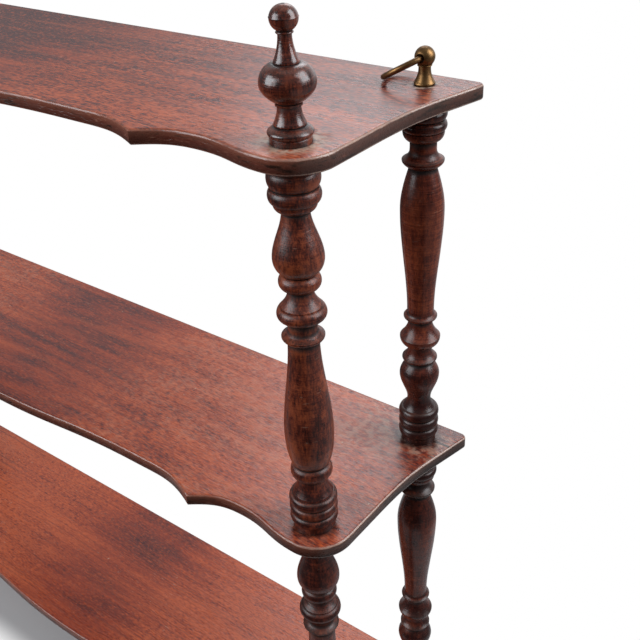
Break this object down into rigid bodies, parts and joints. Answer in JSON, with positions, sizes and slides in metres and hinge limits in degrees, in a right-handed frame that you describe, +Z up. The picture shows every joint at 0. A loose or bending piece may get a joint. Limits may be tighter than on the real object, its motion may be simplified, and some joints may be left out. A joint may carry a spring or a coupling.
{
  "type": "wall shelf",
  "caption": "Hanging wall shelf: wavy-edged mahogany tiers on turned columns, with turned finials and drops and brass ball posts that carry swinging hanging rings.",
  "frame": {"origin": "middle of the top shelf's back edge, on the wall plane, at half the shelf's thickness", "axes": "+X to the right as seen from the room, +Y into the wall, +Z up"},
  "size_m": [0.76, 0.176, 0.7149],
  "materials": {
    "shelf_wood": "polished mahogany, worn satin, grain along the shelf",
    "column_wood": "turned mahogany, dark polish, worn on the beads",
    "finial_wood": "turned mahogany, dark polish, worn on the bulb",
    "drop_wood": "turned mahogany, dark polish",
    "post_brass": "aged brass, darkened in the hollows",
    "ring_brass": "aged brass wire, dull"
  },
  "bodies": {
    "shelf": {"top_shelf": "shelf_wood", "middle_shelf": "shelf_wood", "bottom_shelf": "shelf_wood", "front_column_upper_left": "column_wood", "front_column_upper_right": "column_wood", "front_column_lower_left": "column_wood", "front_column_lower_right": "column_wood", "back_column_upper_left": "column_wood", "back_column_upper_right": "column_wood", "back_column_lower_left": "column_wood", "back_column_lower_right": "column_wood", "finial_left": "finial_wood", "finial_right": "finial_wood", "drop_front_left": "drop_wood", "drop_front_right": "drop_wood", "drop_back_left": "drop_wood", "drop_back_right": "drop_wood", "hanger_post_left": "post_brass", "hanger_post_right": "post_brass"},
    "left_ring": {"hanging_ring_left": "ring_brass"},
    "right_ring": {"hanging_ring_right": "ring_brass"}
  },
  "joints": [
    {"name": "right_ring_swing", "type": "hinge", "parent": "shelf", "child": "right_ring", "pos_m": [0.348, -0.0216, 0.0223], "axis": [0, 1, 0], "range_deg": [0, 236]},
    {"name": "left_ring_swing", "type": "hinge", "parent": "shelf", "child": "left_ring", "pos_m": [-0.348, -0.0216, 0.0223], "axis": [0, -1, 0], "range_deg": [0, 236]}
  ]
}
